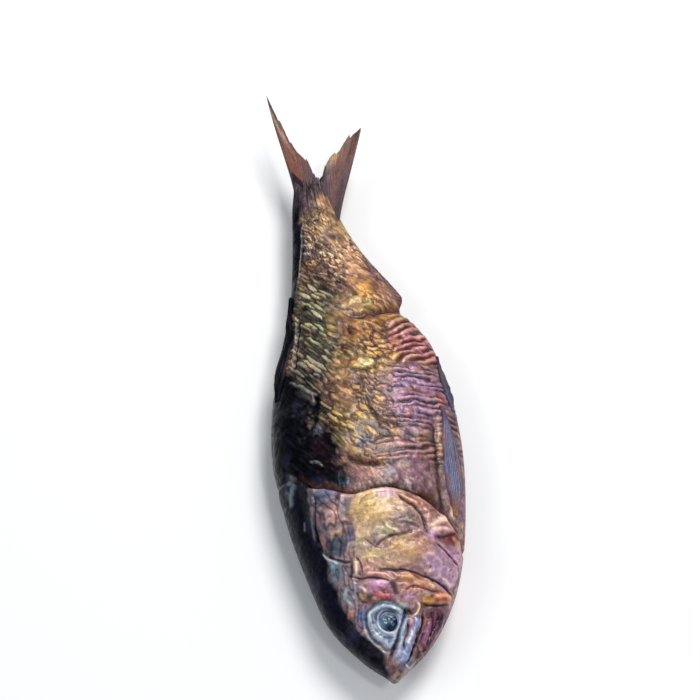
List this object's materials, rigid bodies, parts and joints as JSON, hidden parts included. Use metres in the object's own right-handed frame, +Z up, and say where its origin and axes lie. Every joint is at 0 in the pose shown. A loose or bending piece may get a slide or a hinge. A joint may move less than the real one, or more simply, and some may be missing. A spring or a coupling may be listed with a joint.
{
  "type": "smoked fish",
  "caption": "Whole smoked fish lying on its side, with dark shrunken skin, gill cover, eye, fins folded flat and a forked tail with torn lobes.",
  "frame": {"origin": "centre of the fish's box at the height of the surface it lies on", "axes": "+Y from the snout to the tail, +X from the back to the belly, +Z up out of the left flank, which shows"},
  "size_m": [0.0666, 0.2452, 0.0287],
  "materials": {
    "smoked_skin": "satin",
    "fin_membrane": "satin"
  },
  "bodies": {
    "root": {"smoked_fish": "smoked_skin"}
  },
  "joints": []
}
